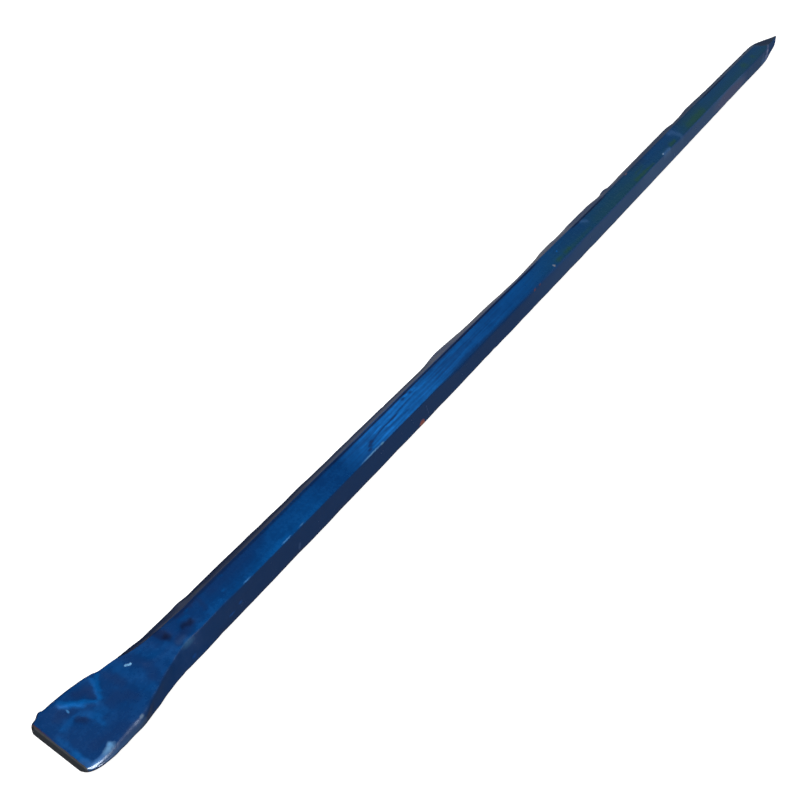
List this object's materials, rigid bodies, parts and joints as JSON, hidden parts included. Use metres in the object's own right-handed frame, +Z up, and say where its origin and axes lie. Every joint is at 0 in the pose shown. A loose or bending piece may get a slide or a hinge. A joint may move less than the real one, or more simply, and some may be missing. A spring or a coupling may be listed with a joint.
{
  "type": "crowbar",
  "caption": "Long hexagonal steel crowbar in blue enamel, with a flattened chisel blade at one end and a forged point at the other.",
  "frame": {"origin": "under the middle of the bar, on the surface that it lies on", "axes": "+X along the bar from the blade to the point, +Z up through the flat that it lies on, +Y across the blade"},
  "size_m": [1.5, 0.045, 0.028],
  "materials": {
    "blue_enamel": "gloss"
  },
  "bodies": {
    "root": {"forged_bar": "blue_enamel"}
  },
  "joints": []
}
